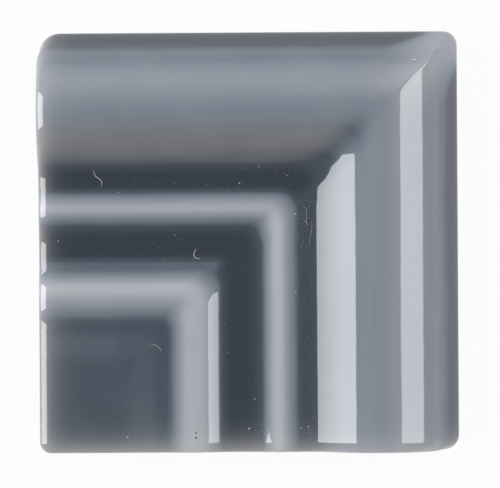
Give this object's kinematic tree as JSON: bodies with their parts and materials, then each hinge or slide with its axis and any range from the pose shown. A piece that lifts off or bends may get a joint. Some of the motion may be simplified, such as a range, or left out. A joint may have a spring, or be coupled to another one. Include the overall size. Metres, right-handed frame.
{
  "type": "corner moulding tile",
  "caption": "Square glazed ceramic corner tile that turns a roll-and-band moulding through a mitred right angle around a flat field, to join straight moulding tiles.",
  "frame": {"origin": "middle of the flat back, in the plane the tile is bedded on", "axes": "+Z out of the moulded face, away from the back; +X and +Y towards the two outer edges, so that the cut ends are on -X and -Y and the mitre lies on the diagonal between +X and +Y"},
  "size_m": [0.05, 0.05, 0.0113],
  "materials": {
    "glaze": "glossy slate-grey glaze fired over a pale ceramic body, thin and pale on the raised members, pooled and dark in the hollows"
  },
  "bodies": {
    "root": {"corner_moulding_tile": "glaze"}
  },
  "joints": []
}
